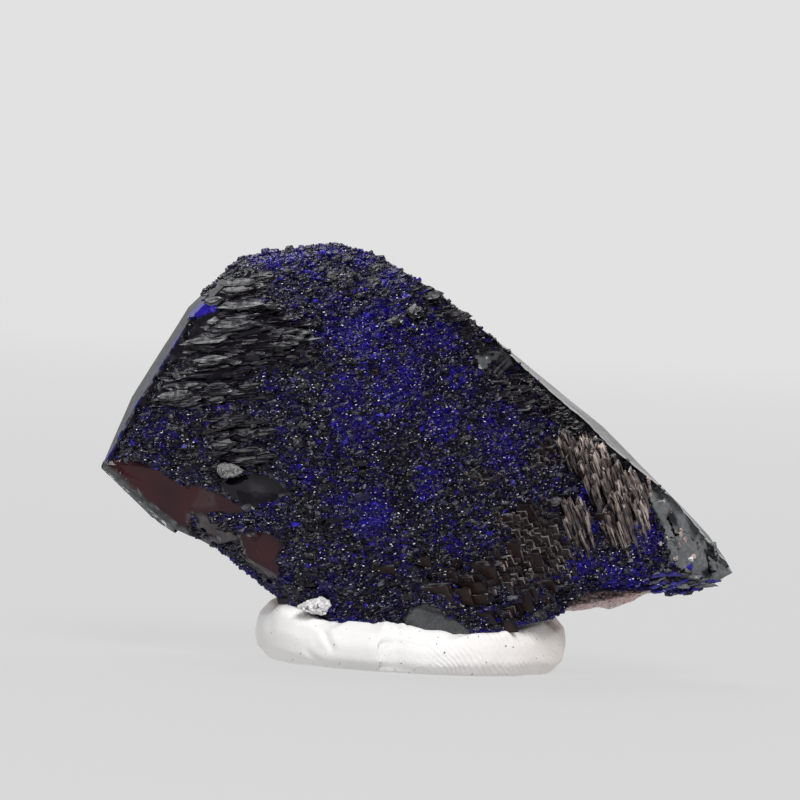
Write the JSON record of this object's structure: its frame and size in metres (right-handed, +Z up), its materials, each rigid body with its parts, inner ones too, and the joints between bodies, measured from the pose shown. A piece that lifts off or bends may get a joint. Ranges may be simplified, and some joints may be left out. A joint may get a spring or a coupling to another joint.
{
  "type": "fluorite with quartz",
  "caption": "Dark violet-blue stepped fluorite crusted with small crystals, on a pale quartz matrix, propped upright on a rolled ring of white putty.",
  "frame": {"origin": "under the middle of the whole part, on the surface where the putty ring stands", "axes": "+X along the specimen's long side, towards its thin end; -Y out of the druse-covered face; +Z up"},
  "size_m": [0.0636, 0.031, 0.0419],
  "materials": {
    "fluorite": "very dark violet-blue, nearly opaque, glassy crystal faces",
    "quartz_matrix": "pinkish-white, granular, dull",
    "quartz_grain": "white, sugary",
    "putty": "matte white, rolled and pressed by hand"
  },
  "bodies": {
    "root": {"fluorite": "fluorite", "quartz_matrix": "quartz_matrix", "quartz_grain_side": "quartz_grain", "quartz_grain_foot": "quartz_grain", "putty_ring": "putty"}
  },
  "joints": []
}
